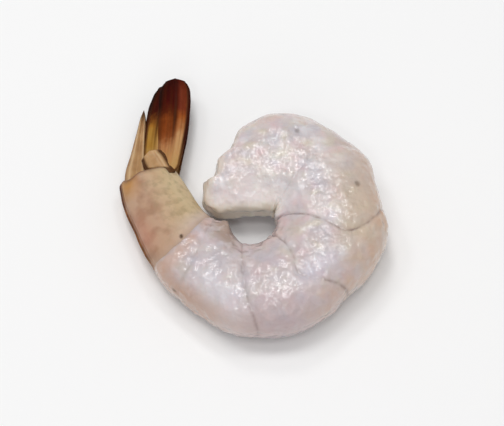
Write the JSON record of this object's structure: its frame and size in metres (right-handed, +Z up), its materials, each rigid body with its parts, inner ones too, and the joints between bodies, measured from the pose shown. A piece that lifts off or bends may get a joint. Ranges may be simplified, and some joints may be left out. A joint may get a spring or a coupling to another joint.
{
  "type": "raw peeled shrimp",
  "caption": "Raw peeled shrimp curled on its side, with the last shell ring and the folded tail fan left on.",
  "frame": {"origin": "on the ground, under the middle of the whole outline", "axes": "+Z up from the ground the shrimp lies on; +Y towards the tips of the tail fan; +X away from the tail, towards the back of the bend"},
  "size_m": [0.0566, 0.0612, 0.0158],
  "materials": {
    "flesh": "wet translucent grey-white raw flesh",
    "shell": "wet thin tan shell, slightly see-through",
    "blade": "wet horny tail blades, golden brown to dark red-brown"
  },
  "bodies": {
    "root": {"meat": "flesh", "tail_shell": "shell", "telson": "shell", "protopod_near": "shell", "protopod_far": "shell", "endopod_near": "blade", "endopod_far": "blade", "exopod_near": "blade", "exopod_far": "blade"}
  },
  "joints": []
}
